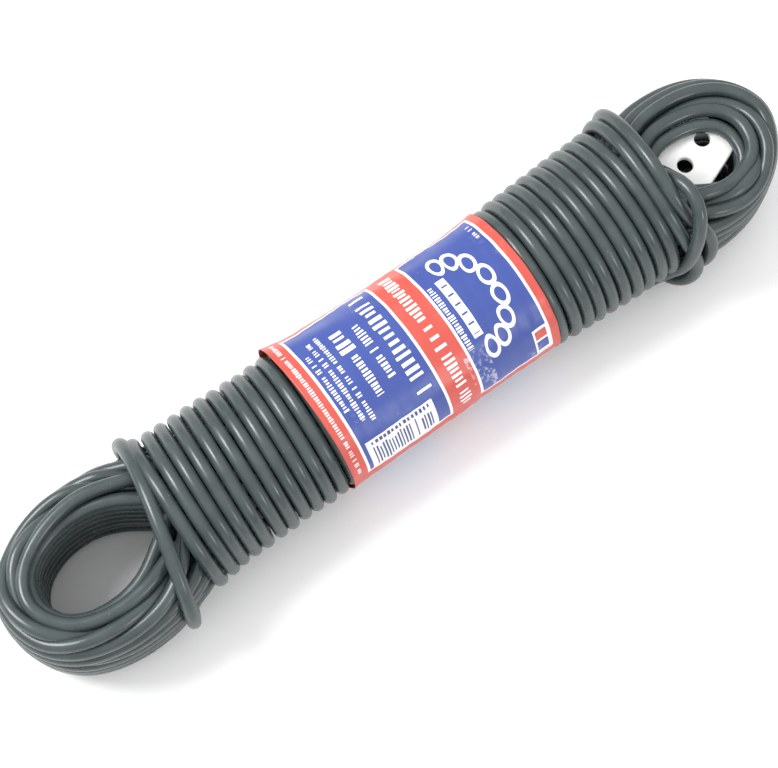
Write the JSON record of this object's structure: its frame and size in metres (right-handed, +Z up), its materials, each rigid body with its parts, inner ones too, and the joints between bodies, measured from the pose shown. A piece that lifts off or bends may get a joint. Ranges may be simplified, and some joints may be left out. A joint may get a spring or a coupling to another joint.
{
  "type": "clothesline hank",
  "caption": "Hank of sheathed clothes line: long loops wrapped round the middle, a looped eye at each end, a paper band and a flat line tensioner tucked in one eye.",
  "frame": {"origin": "middle of the hank's length, at the ground, on the resting face under the paper band", "axes": "+X along the hank towards the eye that holds the tensioner, +Z up from the ground"},
  "size_m": [0.255, 0.054, 0.0445],
  "materials": {
    "sheath": "smooth extruded PVC, satin",
    "core": "fibrous polypropylene, cut square",
    "paper": "printed coated paper, semi-gloss",
    "glue": "dried hot glue",
    "tensioner": "moulded, glossy, softly rounded edges"
  },
  "bodies": {
    "hank": {"line_loops": "sheath", "line_eye_left": "sheath", "line_eye_right": "sheath", "line_wrap_left": "sheath", "line_wrap_middle": "sheath", "line_wrap_right": "sheath", "line_loose_turn": "sheath", "line_end_hitch": "sheath", "line_tail_sheath": "sheath", "line_tail_core": "core", "line_start_sheath": "sheath", "line_start_core": "core", "label_band": "paper", "label_glue_strip": "glue"},
    "tensioner": {"line_tensioner": "tensioner"}
  },
  "joints": [
    {"name": "tensioner_lift", "type": "slide", "parent": "hank", "child": "tensioner", "axis": [0, 0, 1], "range_m": [0, 0.045]}
  ]
}
